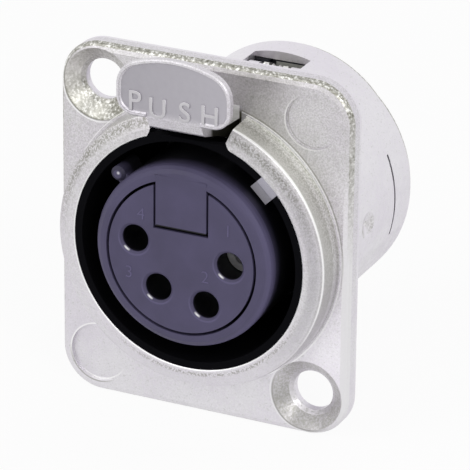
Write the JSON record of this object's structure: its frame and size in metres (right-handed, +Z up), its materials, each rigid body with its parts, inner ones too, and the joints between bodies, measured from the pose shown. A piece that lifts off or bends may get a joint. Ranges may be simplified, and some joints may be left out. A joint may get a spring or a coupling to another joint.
{
  "type": "xlr panel socket",
  "caption": "Square-flanged panel socket with a round mouth, keyed insert, split sleeve contacts, rear solder cups and a sprung push latch.",
  "frame": {"origin": "on the socket's axis, in the plane of the flange's rear face, which lies on the panel", "axes": "+Y rearward through the panel along the socket's axis, +Z up towards the push tab, +X right as seen from the front"},
  "size_m": [0.026, 0.0287, 0.033],
  "materials": {
    "housing_metal": "satin nickel plate on a fine-grained die casting",
    "liner_plastic": "matte black moulding",
    "sleeve_plastic": "matte dark grey moulding",
    "holder_plastic": "matte dark grey moulding",
    "insulator_plastic": "matte black moulding",
    "contact_metal": "silver plate",
    "ground_metal": "tin plate on spring bronze",
    "lever_metal": "satin nickel plate on a fine-grained die casting",
    "pin_steel": "plain drawn steel",
    "spring_steel": "drawn wire"
  },
  "bodies": {
    "socket": {"housing": "housing_metal", "bore_liner": "liner_plastic", "insert_sleeve": "sleeve_plastic", "contact_holder": "holder_plastic", "rear_insulator": "insulator_plastic", "contact_1": "contact_metal", "contact_2": "contact_metal", "contact_3": "contact_metal", "contact_4": "contact_metal", "ground_contact": "ground_metal", "latch_pin": "pin_steel", "latch_spring": "spring_steel"},
    "latch": {"latch_lever": "lever_metal"}
  },
  "joints": [
    {"name": "latch_pivot", "type": "hinge", "parent": "socket", "child": "latch", "pos_m": [0, 0.0117, 0.0095], "axis": [-1, 0, 0], "range_deg": [0, 6], "stiffness_Nm_per_rad": 0.02, "springref_deg": -28.65, "deforming": ["latch_spring"]}
  ]
}
